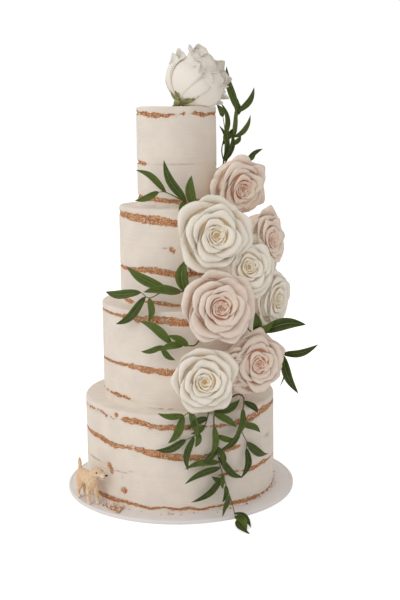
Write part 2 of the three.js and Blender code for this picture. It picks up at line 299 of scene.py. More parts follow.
def corners_of(piece):
    corners = np.empty(len(piece.data.vertices) * 3, np.float32)
    piece.data.vertices.foreach_get("co", corners)
    return corners.reshape(-1, 3).astype(float)


def put_corners(piece, corners):
    piece.data.vertices.foreach_set("co", np.asarray(corners, np.float32).ravel())
    piece.data.update()


def shaped_grid(name, columns, rows, place):
    """A flat grid of faces whose corners are put where place(across, along) says, both from 0 to 1."""
    bpy.ops.object.select_all(action="DESELECT")
    bpy.ops.mesh.primitive_grid_add(x_subdivisions=columns, y_subdivisions=rows, size=1)
    piece = bpy.context.object
    piece.name = name
    across, along, _ = corners_of(piece).T + 0.5
    put_corners(piece, place(across, along))
    return piece


def keep_value(piece, name, values):
    """Keeps a number for each corner of a piece, which its material reads."""
    held = piece.data.attributes.new(name, "FLOAT", "POINT")
    held.data.foreach_set("value", np.asarray(values, np.float32))


def kept_value(start, name):
    """The number that a piece keeps under a name, for its material."""
    return start.node("Attribute", {"attribute_name": name}, output="Fac")


def close_seams(piece):
    """Merges the corners that meet and turns all faces outwards."""
    bpy.context.view_layer.objects.active = piece
    bpy.ops.object.mode_set(mode="EDIT")
    bpy.ops.mesh.select_all(action="SELECT")
    bpy.ops.mesh.remove_doubles(threshold=0.005 * MM)
    bpy.ops.mesh.normals_make_consistent(inside=False)
    bpy.ops.object.mode_set(mode="OBJECT")


def round_points(azimuth, radius, height):
    """Places about the cake's axis. An azimuth is in degrees from the front, growing towards +X."""
    turn = np.radians(azimuth)
    return np.stack([radius * np.sin(turn), -radius * np.cos(turn), height + 0 * turn], axis=1)


def once_round(across):
    """Turns of a circle for a grid's columns, of which the last lies on the first."""
    return np.where(across > 1 - 1e-6, 0, across)


def turned_piece(name, columns, radii, heights, shift):
    """A closed surface of revolution from a profile that starts and ends on the axis, with its corners
    moved outwards or upwards by what shift(points, azimuth, row) gives."""

    def place(across, along):
        row = np.rint(along * (len(radii) - 1)).astype(int)
        azimuth = once_round(across) * 360 - 180
        out, up = shift(round_points(azimuth, radii[row], heights[row]), azimuth, row)
        return round_points(azimuth, np.maximum(radii[row] + out, 0), heights[row] + up)

    return shaped_grid(name, columns, len(radii) - 1, place)


crumb, start = finish_of("baked_sponge", Roughness=0.92, Specular_IOR_Level=0.2)
open_crumb = noise(start, 2.2 * MM, detail=5, roughness=0.7)
baked = noise(start, 9 * MM, detail=3)
toast = (open_crumb * 0.65 + baked * 0.5).within(0.36, 0.82)
warm = toast.mixed((0.31, 0.088, 0.026), (0.70, 0.31, 0.115))
warm = noise(start, 1.6 * MM, detail=2).within(0.36, 0.30).mixed(warm, (0.16, 0.055, 0.022))
pale_bits = noise(start, 1.2 * MM, detail=3).within(0.52, 0.62)
warm = pale_bits.mixed(warm, (0.86, 0.64, 0.44))
scraps = noise(start, 3.4 * MM, detail=5, roughness=0.75).within(0.575, 0.61)
scraps.mixed(warm, (0.86, 0.76, 0.64)).feeds("Base Color")
bumped(open_crumb, 1.6 * MM).feeds("Normal")

for number, tier in enumerate(TIER_NAMES):
    radius, base, top = tier_size(tier)
    tin = radius - ICING_COAT
    columns = int(2 * math.pi * tin / CRUMB_WIDTH)
    wall = np.linspace(base + SPONGE_FOOT, top - ICING_ON_TOP, SPONGE_ROWS)
    radii = np.concatenate([[0, 0.7 * tin], np.full(SPONGE_ROWS, tin), [0.7 * tin, 0]])
    heights = np.concatenate([[wall[0]] * 2, wall, [wall[-1]] * 2])

    def crumbly(points, azimuth, row):
        coarse = lumps(points, 3.6 * MM, number)
        fine = lumps(points, 1.9 * MM, number + 10)
        holes = np.clip(lumps(points, 2.6 * MM, number + 20) - 0.45, 0, 1)
        out = (0.25 * coarse + 0.25 * fine - 1.5 * holes + 0.1) * MM
        return np.where((row > 1) & (row < len(radii) - 2), out, 0), 0 * out

    core = turned_piece(tier + "_sponge_core", columns, radii, heights, crumbly)
    close_seams(core)
    bpy.ops.object.shade_smooth_by_angle(angle=CRUMB_CREASE)
    core.data.materials.append(crumb)
    settled(core, "sponge", *tier_nodes(tier, "sponge"))


# The icing: a thin coat of ivory buttercream, spread on with a palette knife and scraped back with an
# upright scraper while the cake turned. Where the scraper caught the sponge, ragged lines and bites of it
# are bare, and next to them the coat is so thin that the crumb tints it.
# A line is given by stations: the azimuth, the height above the tier's base, half the line's thickness and
# how ragged it is, in degrees and millimetres. A negative half thickness hides the line.
# A bite is an azimuth, a height, half a width and half a height. A smear is the same, with its strength.
BARE_LINES = {
    "tier_1": [[
        [-160, 117, 2.8, 1.6], [-120, 118, 3.2, 1.5], [-86, 118, 1.2, 2.2], [-74, 118, 0.3, 2.4],
        [-56, 120, 0.4, 3.0], [-42, 115.5, 0.3, 3.0], [-38, 116, -2.5, 0.5], [-34, 116.5, 2.6, 1.4],
        [-26, 116.5, 2.8, 1.7], [-19, 115, 3.0, 1.7], [-16.5, 113, 1.9, 2.0], [-10, 112, 2.9, 1.7],
        [-2, 112.5, 2.7, 1.8], [5, 111.5, 2.6, 1.8], [16, 111, 0.6, 3.0], [26, 110.5, 0.8, 3.0],
        [33, 110.5, 3.2, 1.5], [44, 112.5, 4.4, 1.3], [52, 115.5, 4.0, 1.5], [60, 117, 3.2, 1.9],
        [76, 117, 1.4, 2.0], [110, 118, 3.0, 1.5], [150, 115, 2.4, 1.8],
    ], [
        [-150, 79, 2.4, 1.4], [-110, 83, 1.4, 1.4], [-76, 84, 1.2, 0.8], [-55, 84.5, 2.8, 1.4],
        [-41, 80, 2.8, 1.6], [-36, 80, 0.6, 2.6], [-28, 81, 0.9, 2.6], [-23, 80, 3.0, 1.2],
        [-12, 76, 3.8, 1.1], [0, 73, 3.6, 1.2], [10, 72, 2.6, 1.6], [17, 73, 0.6, 2.2],
        [24, 75.5, 1.2, 1.0], [35, 79, 1.4, 1.0], [39, 80, -2.5, 0.6], [62, 79, -1.4, 1.4],
        [80, 78, -1.5, 1.2], [110, 79, 1.8, 1.4], [160, 78, 2.6, 1.4],
    ], [
        [-170, 47, 1.8, 1.3], [-120, 50, 1.0, 1.2], [-80, 51, -1.2, 0.8], [-30, 50, -2.4, 0.5],
        [18, 45.5, -1.8, 0.6], [24, 45.5, 0.8, 0.9], [31, 46.5, 0.8, 0.9], [36, 45, -0.6, 1.2],
        [43, 43.5, 1.8, 1.1], [57, 44.5, 2.0, 1.2], [66, 44, 0.2, 1.2], [80, 44, -1.0, 1.0],
        [120, 46, 1.6, 1.3], [165, 47, 2.0, 1.3],
    ], [
        [-170, 5, 1.6, 1.6], [-110, 5, 1.3, 1.7], [-72, 4, 1.2, 1.8], [-56, 6.5, 2.0, 1.8],
        [-41, 7, 1.9, 1.9], [-31, 6.5, 1.3, 1.7], [-27, 6, 0.5, 1.1], [-18, 4, 0.5, 0.9],
        [-10, 6.8, 0.5, 1.0], [-1, 5, 0.5, 1.0], [4, 6.5, 1.0, 1.3], [10, 3, 0.5, 1.3],
        [20, 4, -0.4, 1.6], [29, 5, 1.5, 1.9], [38, 4, 1.7, 1.9], [46, 3, 1.4, 1.8], [60, 2, 0.2, 1.6],
        [100, 4, 1.6, 1.6], [150, 5, 2.2, 1.6],
    ]],
    "tier_2": [[
        [-160, 118, 2.6, 1.4], [-110, 119, 1.6, 1.3], [-74, 119, 0.5, 1.2], [-52, 118, 0.7, 1.2],
        [-43, 118, 2.0, 1.5], [-28, 116.5, 2.6, 1.5], [-20, 117.5, 3.6, 1.2], [-10, 116, 4.0, 1.2],
        [2, 113.5, 3.8, 1.3], [30, 114, 3.0, 1.5], [80, 117, 2.0, 1.6], [130, 118, 2.8, 1.4],
    ], [
        [-160, 51, 2.4, 1.4], [-110, 52, 1.4, 1.3], [-75, 53, 0.7, 0.8], [-60, 54, 0.8, 0.8],
        [-41, 54, 1.1, 1.2], [-36, 53.5, 2.8, 1.3], [-21, 51.5, 3.4, 1.6], [-7, 49.5, 3.2, 1.8],
        [15, 50, 2.4, 1.6], [90, 52, 2.0, 1.5], [140, 52, 2.6, 1.4],
    ], [
        [-170, 8, 1.6, 1.6], [-100, 10, 0.8, 1.6], [-66, 11, -0.4, 1.6], [-54, 11, 0.9, 1.7],
        [-42, 10.5, 0.8, 1.7], [-35, 9, -1.4, 1.0], [30, 6, -1.8, 0.8], [100, 8, 0.6, 1.8],
        [150, 8, 1.4, 1.6],
    ]],
    "tier_3": [[
        [-170, 115, 2.6, 1.5], [-120, 117, 2.6, 1.4], [-76, 118, 2.4, 1.4], [-52, 116.5, 3.8, 1.3],
        [-27, 113, 4.6, 1.3], [-12, 111, 4.6, 1.5], [0, 108.5, 2.6, 2.0], [12, 108, 1.6, 1.6],
        [60, 112, 2.4, 1.5], [120, 114, 2.8, 1.5],
    ], [
        [-170, 78, 1.2, 1.3], [-120, 79, 0.6, 1.3], [-90, 79, -1.5, 0.8], [-30, 78, -2.5, 0.5],
        [40, 77, -2.5, 0.5], [100, 78, -0.6, 1.2], [150, 78, 1.0, 1.3],
    ], [
        [-170, 48, 2.2, 1.4], [-115, 49, 1.4, 1.3], [-78, 49.5, 0.8, 0.9], [-50, 47, 2.0, 1.2],
        [-36, 48.5, 2.0, 1.3], [-22, 48, 3.4, 1.2], [-10, 46, 3.3, 1.2], [2, 44, 2.8, 1.3],
        [30, 45, 1.8, 1.5], [90, 47, 1.8, 1.5], [140, 48, 2.4, 1.4],
    ], [
        [-170, 7, 1.6, 1.5], [-110, 8, 1.2, 1.4], [-78, 9.5, 1.6, 1.4], [-62, 8, 2.6, 1.2],
        [-54, 5, 1.6, 1.2], [-46, 5, -1.6, 0.8], [-30, 8, 0.4, 0.9], [-25, 7.5, 1.2, 0.9],
        [-14, 6, 1.4, 0.9], [-3, 4, 1.0, 0.9], [10, 4, -1.0, 0.9], [90, 6, 0.6, 1.6], [140, 7, 1.4, 1.5],
    ]],
    "tier_4": [[
        [-170, 117, 1.8, 1.5], [-110, 120, 1.4, 1.4], [-66, 120.5, 1.4, 1.6], [-54, 119, 1.9, 1.7],
        [-31, 116.5, 2.1, 1.7], [-14, 115.5, 1.7, 1.8], [-6, 116, 0.4, 1.6], [0, 116.5, -1.4, 0.8],
        [11, 117.5, 0.1, 1.1], [18, 118, -1.6, 0.8], [27, 118.5, 1.0, 1.7], [43, 117, 1.7, 1.7],
        [58, 118.5, 1.2, 1.6], [100, 118, 1.2, 1.6], [150, 117, 1.6, 1.5],
    ], [
        [-170, 55, 1.8, 1.2], [-110, 57, 1.4, 1.0], [-72, 57, 1.2, 1.0], [-52, 55.5, 1.2, 1.1],
        [-44, 55, -1.2, 0.8], [40, 55, -2.4, 0.5], [100, 55, -0.4, 1.2], [150, 55, 1.4, 1.2],
    ], [
        [-170, 9, 2.2, 1.4], [-110, 12, 1.4, 1.3], [-74, 12.5, 1.2, 1.2], [-44, 11, 1.5, 1.2],
        [-18, 8.5, 1.7, 1.2], [2, 7, 1.9, 1.2], [14, 6, 2.8, 1.2], [32, 7, 2.8, 1.3], [90, 9, 1.6, 1.4],
        [140, 9, 2.2, 1.4],
    ]],
}
BITES = {
    "tier_1": [[-46.5, 50, 3.4, 3.4], [-44.5, 44, 2.6, 3.8], [-35, 22, 4.0, 2.6], [-39.5, 121, 2.2, 2.6]],
    "tier_2": [[-30, 114, 1.8, 1.4]],
    "tier_3": [[-6, 76, 1.7, 2.2], [-4, 73.5, 1.4, 1.6], [15, 54, 6.0, 6.5]],
    "tier_4": [[11, 117.5, 1.0, 1.0]],
}
SMEARS = {
    "tier_1": [
        [-62, 51.3, 18, 1.0, 0.9], [-37, 46.5, 10, 1.2, 0.75], [-29, 50, 6, 1.0, 0.45],
        [-36, 40, 2.0, 2.2, 0.5], [63, 78, 8, 3.4, 0.4], [-17, 109, 3.5, 1.2, 0.6],
        [-64, 118, 20, 3.6, 0.25], [-14, 3.4, 26, 1.2, 0.35],
    ],
    "tier_2": [
        [-12, 2.4, 18, 1.1, 0.8], [-50, 11, 18, 2.2, 0.5], [-66, 118, 20, 1.8, 0.4],
        [-62, 53.6, 18, 1.6, 0.4], [40, 3, 40, 1.4, 0.4],
    ],
    "tier_3": [
        [-12, 78, 3.4, 1.0, 0.85], [15, 54, 7.5, 8.0, 0.5], [-14, 6, 12, 2.0, 0.35], [-50, 3, 10, 1, 0.3],
    ],
    "tier_4": [
        [-65, 84, 2.4, 0.9, 0.6], [0, 55, 26, 1.0, 0.45], [-4, 116, 6, 2.4, 0.35], [-40, 2, 30, 1.0, 0.4],
    ],
}
EDGE_RADII = {"tier_1": 4 * MM, "tier_2": 1.8 * MM, "tier_3": 3 * MM, "tier_4": 2 * MM}
COLUMN_WIDTH = 1.4 * MM
WALL_ROWS = 112
EDGE_ROWS = 5
TOP_ROWS = 14
BARE_DEPTH = 1.2 * MM
COAT_STARTS = 0.35 * MM
COAT_SLOPE = 1.25 * MM
MOST_LIP = 0.9 * MM
LIP_PLACE = 2.5 * MM
LIP_WIDTH = 2.6 * MM
FOOT_BEAD = 0.7 * MM
FOOT_BEAD_HEIGHT = 1.5 * MM
ICING_CREASE = math.radians(60)
THIN_COAT_WIDTH = 1.3 * MM
SIDE_DEPTH = 4.5 * MM
SUNK_IN_BOARD = 0.5 * MM
SUNK_IN_TIER = 0.8 * MM


def apart(azimuth, middle):
    """The turn from one azimuth to another, in degrees from -180 to 180."""
    return (azimuth - middle + 180) % 360 - 180


def wall_heights(tier, height):
    """Heights of the rows on a wall, closer together where a line of bare sponge runs."""
    fine = np.linspace(0, height, 500)
    density = np.full(len(fine), 1.0)
    for line in BARE_LINES[tier]:
        middles = np.array(line)[:, 1] * MM
        for middle in np.linspace(middles.min(), middles.max(), 4):
            density += 0.9 * np.exp(-(((fine - middle) / (5 * MM)) ** 2))
    share = np.cumsum(density)
    share = (share - share[0]) / (share[-1] - share[0])
    return np.interp(np.linspace(0, 1, WALL_ROWS), share, fine)


def coat_margin(tier, points, azimuth, height):
    """How far a place on the wall lies from bare sponge: below 0 it is bare. In metres, as the rest is."""
    rough = 0.5 * lumps(points * [1, 1, 1.3], 6.5 * MM, 31) + 0.6 * lumps(points, 3.2 * MM, 32)
    rough += 0.6 * lumps(points, 1.9 * MM, 33)
    wander = 0.8 * MM * lumps(points, 18 * MM, 34)
    turn = apart(azimuth, 0)
    margin = np.full(len(points), 1.0)
    for line in BARE_LINES[tier]:
        at, middle, half, ragged = np.array(line).T
        stations = (middle * MM, half * MM, ragged * MM)
        middle, half, ragged = (np.interp(turn, at, each, period=360) for each in stations)
        off = np.abs(height - middle - wander) - half
        margin = np.minimum(margin, off + ragged * rough)
    reach = np.hypot(points[:, 0], points[:, 1])
    for middle, level, half_width, half_height in BITES[tier]:
        aside = np.radians(apart(azimuth, middle)) * reach
        spread = np.hypot(aside / (half_width * MM), (height - level * MM) / (half_height * MM))
        margin = np.minimum(margin, (spread - 1) * min(half_width, half_height) * MM + 0.9 * MM * rough)
    return margin


def smeared(tier, points, azimuth, height):
    """How strongly grey-brown crumb is smeared into the icing, from 0 to 1."""
    reach = np.hypot(points[:, 0], points[:, 1])
    broken = np.clip(0.7 + 0.9 * lumps(points * [1, 1, 2.2], 6 * MM, 41), 0, 1)
    total = np.zeros(len(points))
    for middle, level, half_width, half_height, strength in SMEARS[tier]:
        aside = np.radians(apart(azimuth, middle)) * reach / (half_width * MM)
        off = (height - level * MM) / (half_height * MM)
        total = np.maximum(total, strength * np.exp(-(np.abs(aside) ** 4) - off**2))
    return total * broken


LIGHT_SPREADS = (3 * MM, 2 * MM, 1.2 * MM)
icing, start = finish_of(
    "scraped_buttercream",
    Specular_IOR_Level=0.35,
    Subsurface_Weight=0.12,
    Subsurface_Radius=LIGHT_SPREADS,
    Subsurface_Scale=1,
)
streaks = noise(start, 3 * MM, detail=3, stretch=(9, 9, 0.5))
blotches = noise(start, 26 * MM, detail=2)
butter = blotches.within(0.3, 0.72).mixed((0.79, 0.715, 0.645), (0.845, 0.77, 0.68))
butter = streaks.within(0.55, 0.8).mixed(butter, (0.86, 0.80, 0.72))
thin_coat = kept_value(start, "thin_coat")
smear = kept_value(start, "smear")
speckle = noise(start, 1.5 * MM, detail=3, roughness=0.65)
tinted = (thin_coat * speckle.within(0.3, 0.62) * 0.7).mixed(butter, (0.66, 0.38, 0.20))
tinted = (thin_coat * 1.3 + 1.9 * speckle).within(1.5, 1.7).mixed(tinted, (0.50, 0.22, 0.09))
tinted = (smear * speckle.within(0.2, 0.55)).mixed(tinted, (0.27, 0.20, 0.155))
flecks = noise(start, 1.3 * MM, detail=1).within(0.735, 0.765) * 0.55
flecks.mixed(tinted, (0.42, 0.24, 0.12)).feeds("Base Color")
(0.5 + 0.2 * streaks).feeds("Roughness")
bumped(streaks + 0.5 * noise(start, 7 * MM, stretch=(2, 2, 0.7)), 0.42 * MM).feeds("Normal")

for number, tier in enumerate(TIER_NAMES):
    radius, base, top = tier_size(tier)
    tall = top - base
    edge = EDGE_RADII[tier]
    columns = int(2 * math.pi * radius / COLUMN_WIDTH)
    wall = wall_heights(tier, tall - edge)
    bend = np.linspace(0, math.pi / 2, EDGE_ROWS + 1)[1:]
    flat = (radius - edge) * np.linspace(1, 0, TOP_ROWS + 1)[1:] ** 0.8
    rounded = radius - edge * (1 - np.cos(bend))
    shoulder = tall - edge * (1 - np.sin(bend))
    radii = np.concatenate([[0, radius * 0.9], np.full(WALL_ROWS, radius), rounded, flat])
    rises = np.concatenate([[0, 0], wall, shoulder, np.full(TOP_ROWS, tall)])
    sunk = SUNK_IN_BOARD if number == 0 else SUNK_IN_TIER
    heights = base - sunk + rises * (1 + sunk / tall)

    def scraped(points, azimuth, row):
        height = points[:, 2] - base
        on_wall = (row >= 2) & (row < 2 + WALL_ROWS)
        on_top = row >= 2 + WALL_ROWS + EDGE_ROWS
        margin = coat_margin(tier, points, azimuth, height)
        coat = np.clip((margin + COAT_STARTS) / COAT_SLOPE, 0, 1)
        coat = coat * coat * (3 - 2 * coat)
        waves = 0.28 * MM * lumps(points * [1, 1, 0.6], 30 * MM, number + 50)
        waves += 0.1 * MM * lumps(points * [0.25, 0.25, 3], 5 * MM, number + 60)
        bead = FOOT_BEAD * np.exp(-height / FOOT_BEAD_HEIGHT) * (1 + 0.8 * lumps(points, 5 * MM, 70))
        out = np.where(on_wall, (coat - 1) * (BARE_DEPTH + ICING_COAT) + waves + bead, 0)
        past_wall = row >= 2 + WALL_ROWS
        out += np.where(past_wall & ~on_top, waves, 0)
        swirl = 0.35 * MM * lumps(points, 14 * MM, number + 80)
        reach = np.hypot(points[:, 0], points[:, 1])
        near_rim = np.exp(-(((radius - LIP_PLACE - reach) / LIP_WIDTH) ** 2))
        around = round_points(azimuth, 30 * MM, 0.0)
        lip = MOST_LIP * np.clip(0.2 + lumps(around, 16 * MM, number + 90), 0, 1) * near_rim
        inner = np.clip(reach / (8 * MM), 0, 1)
        return out, np.where(past_wall, (swirl + 0.6 * waves) * inner * (1 - near_rim) + lip, 0)

    coat = turned_piece(tier + "_icing_coat", columns, radii, heights, scraped)
    corners = corners_of(coat)
    azimuth = np.degrees(np.arctan2(corners[:, 0], -corners[:, 1]))
    level = (corners[:, 2] - heights[0]) * tall / (top - heights[0])
    on_skin = round_points(azimuth, np.full(len(azimuth), radius), corners[:, 2])
    margin = coat_margin(tier, on_skin, azimuth, level)
    on_side = np.hypot(corners[:, 0], corners[:, 1]) > radius - SIDE_DEPTH
    thinness = 0.85 * np.exp(-np.clip(margin, 0, 1) / THIN_COAT_WIDTH)
    keep_value(coat, "thin_coat", np.where(on_side, thinness, 0))
    keep_value(coat, "smear", np.where(on_side, smeared(tier, on_skin, azimuth, level), 0))
    close_seams(coat)
    bpy.ops.object.shade_smooth_by_angle(angle=ICING_CREASE)
    coat.data.materials.append(icing)
    settled(coat, "icing", *tier_nodes(tier, "icing"))


# The roses: fresh garden roses, ivory and blush, with the stems cut short and pushed into the cake. Each
# head is thirty or forty thin petals in whorls: a tight swirl, then broad petals whose lips roll back.
# A place is the azimuth, the radius and the height of the head's middle in millimetres, and a rose faces an
# azimuth and rises above level by degrees, with a turn about its own axis. A head with more depth is a cup,
# a hollow one stands open in the middle by that many whorls, and petals with a point are ruffled too. Each
# rose gives way to those that stand before it in the list.
ROSES = [
    {"name": "rose_top", "place": [66, 30, 545], "width": 86, "faces": [116, 44], "depth": 1.3,
     "turn": 20, "point": 0.09},
    {"name": "rose_8_white", "place": [12.8, 130, 177], "width": 84, "faces": [8, 6], "turn": 65,
     "hollow": 1},
    {"name": "rose_7_blush", "place": [48.5, 127, 188], "width": 84, "faces": [25, 6], "turn": 10,
     "point": 0.05},
    {"name": "rose_6_blush", "place": [22, 126, 268], "width": 92, "faces": [17, 4], "turn": 130},
    {"name": "rose_4_white", "place": [45, 119, 312], "width": 80, "faces": [20, 8], "turn": 300,
     "hollow": 1},
    {"name": "rose_2_white", "place": [23.8, 108, 355], "width": 95, "faces": [13, 3], "turn": 250,
     "hollow": 1},
    {"name": "rose_1_blush", "place": [63, 88, 412], "width": 82, "faces": [26, -12], "turn": 85,
     "point": 0.07},
    {"name": "rose_5_white", "place": [66, 130, 267], "width": 74, "faces": [52, -4], "turn": 40},
    {"name": "rose_3_blush", "place": [64, 121, 344], "width": 80, "faces": [52, 2], "turn": 150,
     "point": 0.06},
    {"name": "rose_9_blush", "place": [33.6, 120, 186], "width": 54, "faces": [32, -5], "turn": 250},
]
# Each whorl, from the middle out: how many petals, the crest's radius and height and the belly's radius in
# head radii, half a petal's breadth in degrees, how far the lip reaches past the crest, and the lip's roll.
SWIRL = [
    [3, 0.035, 0.33, 0.09, 125, 0.03, 70], [3, 0.085, 0.36, 0.15, 110, 0.045, 85],
    [4, 0.145, 0.385, 0.22, 88, 0.05, 100], [4, 0.215, 0.4, 0.3, 84, 0.06, 110],
]
OPEN_PETALS = [
    [3, 0.3, 0.45, 0.42, 96, 0.14, 125], [4, 0.44, 0.42, 0.59, 80, 0.21, 128],
    [4, 0.61, 0.34, 0.75, 74, 0.25, 130], [5, 0.76, 0.16, 0.84, 64, 0.25, 126],
]
CUPPED_PETALS = [
    [4, 0.36, 0.5, 0.52, 72, 0.12, 110], [4, 0.52, 0.51, 0.7, 66, 0.15, 115],
    [5, 0.64, 0.48, 0.84, 54, 0.18, 120], [6, 0.72, 0.38, 0.92, 44, 0.2, 125],
    [6, 0.78, 0.22, 0.96, 38, 0.19, 120], [4, 0.8, 0.02, 0.94, 36, 0.16, 115],
]
PETAL_FOOT = (0.09, -0.62)
PETAL_COLUMNS = 14
EXTRA_COLUMNS = 4
PETAL_ROWS = 12
HEART_CREST = 0.15
HEART_ENDS = 0.55
PLAIN_POINT = 0.02
LIP_START = 0.58
PETAL_THICKNESS = 0.45 * MM
PETAL_CLEARANCE = 1.2 * MM
CLEARANCE_FADE = 12 * MM
# How strongly the petals glow: a painted glow that stands in for light coming through them.
PAINTED_PETAL_GLOW = 0.11
RUFFLE = 16
ROSE_MIDDLE = -0.12
ROSE_SPREAD = (0.90, 0.90, 0.50)


def joined(pieces, name):
    """One piece from several."""
    bpy.ops.object.select_all(action="DESELECT")
    for piece in pieces:
        piece.select_set(True)
    bpy.context.view_layer.objects.active = pieces[0]
    if len(pieces) > 1:
        bpy.ops.object.join()
    pieces[0].name = name
    return pieces[0]


def grown_sheet(name, columns, rows, place, **values):
    """A petal or leaf that keeps how far across and along it each corner lies, and these values."""
    sheet = shaped_grid(name, columns, rows, place)
    across, along = np.meshgrid(np.linspace(0, 1, columns + 1), np.linspace(0, 1, rows + 1))
    for kept, value in {"across": across.ravel(), "along": along.ravel(), **values}.items():
        keep_value(sheet, kept, np.broadcast_to(value, across.size))
    return sheet


def thickened(piece, thickness, back_slot=0):
    """Gives a sheet of petals or leaves its thickness, and its back the material of another slot."""
    bpy.context.view_layer.objects.active = piece
    solid = piece.modifiers.new("thickness", "SOLIDIFY")
    solid.thickness = thickness
    solid.offset = 0
    solid.material_offset = back_slot
    bpy.ops.object.modifier_apply(modifier=solid.name)
    bpy.ops.object.shade_smooth()


def clear_of_cake(points, gap):
    """Moves the points that lie inside the board or a tier out of it by the shorter way, sideways or up."""
    moved = points.copy()
    bodies = [(BOARD_RADIUS, 0, BOARD_TOP)] + [tier_size(tier) for tier in TIER_NAMES]
    for radius, base, top in bodies:
        reach = np.hypot(moved[:, 0], moved[:, 1])
        over = top + gap - moved[:, 2]
        aside = radius + gap - reach
        inside = (over > 0) & (aside > 0) & (moved[:, 2] > base - gap)
        lifted = inside & (over < aside)
        pushed = inside & ~lifted
        moved[lifted, 2] = top + gap * np.exp(-over[lifted] / CLEARANCE_FADE)
        target = radius + gap * np.exp(-aside[pushed] / CLEARANCE_FADE)
        moved[pushed, :2] *= (target / np.maximum(reach[pushed], 1 * MM))[:, None]
    return moved


def facing_axes(azimuth, rise, turn=0):
    """Right, up and forward of what faces an azimuth and a rise, turned about its own line of sight."""
    side, lift, spin = (math.radians(angle) for angle in (azimuth, rise, turn))
    forward = np.array([math.sin(side) * math.cos(lift), -math.cos(side) * math.cos(lift), math.sin(lift)])
    right = np.array([math.cos(side), math.sin(side), 0])
    up = np.cross(forward, right)
    return np.array([
        right * math.cos(spin) + up * math.sin(spin),
        up * math.cos(spin) - right * math.sin(spin),
        forward,
    ])


def turned_by(angle):
    """What turns rows of x, y, z about their third axis by an angle in radians."""
    return np.array([
        [math.cos(angle), math.sin(angle), 0],
        [-math.sin(angle), math.cos(angle), 0],
        [0, 0, 1],
    ])


def petal_shape(across, along, whorl, depth, point, luck):
    """Corners of one petal in head radii, about the rose's own axis, which points along +Z."""
    _, crest, height, belly, breadth, reach, roll = whorl
    side = 2 * across - 1
    height = height + (0.022 + 0.06 * crest) * luck[0]
    crest = crest * (1 + 0.08 * luck[1])
    roll = roll * (1 + 0.10 * luck[5])
    tip = 1 - 0.30 * np.abs(side + 0.12 * luck[2]) ** 2.6
    tip = tip + point * np.exp(-(((side + 0.2 * luck[3]) / 0.22) ** 2))
    share = along * tip
    curve = reach / (1 - math.cos(math.radians(roll))) * (1 + 0.2 * luck[3])
    foot_level = PETAL_FOOT[1]
    neck_level = height - curve
    stations = [
        PETAL_FOOT,
        (belly, foot_level + 0.05),
        (max(belly, crest) * 1.04, 0.5 * neck_level - 0.12),
        (crest, neck_level),
    ]
    rise = np.clip(share / LIP_START, 0, 1)
    weights = [(1 - rise) ** 3, 3 * rise * (1 - rise) ** 2, 3 * rise**2 * (1 - rise), rise**3]
    out = sum(weight * station[0] for weight, station in zip(weights, stations))
    up = sum(weight * station[1] for weight, station in zip(weights, stations))
    rolled = np.maximum((share - LIP_START) / (1 - LIP_START), 0) * math.radians(roll)
    out = out + curve * (1 - np.cos(rolled))
    up = up + curve * np.sin(rolled) * np.where(rolled > math.pi / 2, 1.25, 1)
    up = up - np.where(rolled > math.pi / 2, 0.25 * curve, 0)
    out = out + (0.02 + 0.07 * crest) * side * (0.35 + 0.65 * share)
    out = out - 0.05 * crest * np.abs(side) ** 2 * share
    wave = np.sin(side * 4.6 + 6 * luck[4]) * 0.02 + np.sin(side * 9.7 + 9 * luck[5]) * 0.009
    wave = wave * (1 + RUFFLE * point)
    up = up + wave * share**3 * (0.5 + crest)
    out = out + wave * share**2 * (0.5 + crest)
    breadth = math.radians(breadth * (1 + 0.08 * luck[6])) * (0.66 + 0.34 * np.sin(math.pi * share**0.85))
    angle = side * breadth
    return np.stack([out * np.cos(angle), out * np.sin(angle), up * depth], axis=1)


def petal_finish(name, heart, body, lip, through):
    """Petal: the colour of its foot deep in the rose, of its body and of its thin lip, with fine veins.
    The last colour is a painted glow, strongest at the petals' feet and in the inner whorls, that brightens
    the gaps between them as light coming through thin petals would."""
    material, start = finish_of(name, Specular_IOR_Level=0.15, Emission_Strength=PAINTED_PETAL_GLOW)
    along, across, inner = (kept_value(start, kept) for kept in ("along", "across", "inner"))
    patch = noise(start, 9 * MM, detail=3)
    sunk = 1 - along.within(0.3, 0.78)
    deep = (sunk * (0.22 + 0.78 * inner) + 0.5 * inner + 0.3 * (patch - 0.5)).within(0.1, 1.0)
    # Painted glow: emission in the last colour, strongest deep at the petals' feet, stands in for light
    # through the petals.
    (0.14 + sunk * (0.62 + 0.3 * inner)).mixed((0, 0, 0), through).feeds("Emission Color")
    veins = ((across * 46 + patch * 5).sine() * 0.5 + 0.5) * along
    colour = deep.mixed(body, heart)
    colour = (along.within(0.86, 1.0) * 0.6).mixed(colour, lip)
    (veins * 0.10).mixed(colour, heart).feeds("Base Color")
    (0.58 - 0.12 * along).feeds("Roughness")
    bumped(veins + patch, 0.16 * MM).feeds("Normal")
    return material


# Each petal finish's last colour is its painted glow, standing in for light through the petals.
WHITE_PETAL = petal_finish(
    "ivory_petal",
    heart=(0.90, 0.76, 0.46),
    body=(0.90, 0.845, 0.765),
    lip=(0.90, 0.86, 0.80),
    through=(1, 0.86, 0.64),
)
TOP_PETAL = petal_finish(
    "top_rose_petal",
    heart=(0.86, 0.77, 0.54),
    body=(0.81, 0.775, 0.725),
    lip=(0.83, 0.80, 0.76),
    through=(1, 0.90, 0.74),
)
BLUSH_PETAL = petal_finish(
    "blush_petal",
    heart=(0.81, 0.38, 0.20),
    body=(0.86, 0.745, 0.655),
    lip=(0.885, 0.81, 0.74),
    through=(0.95, 0.66, 0.49),
)

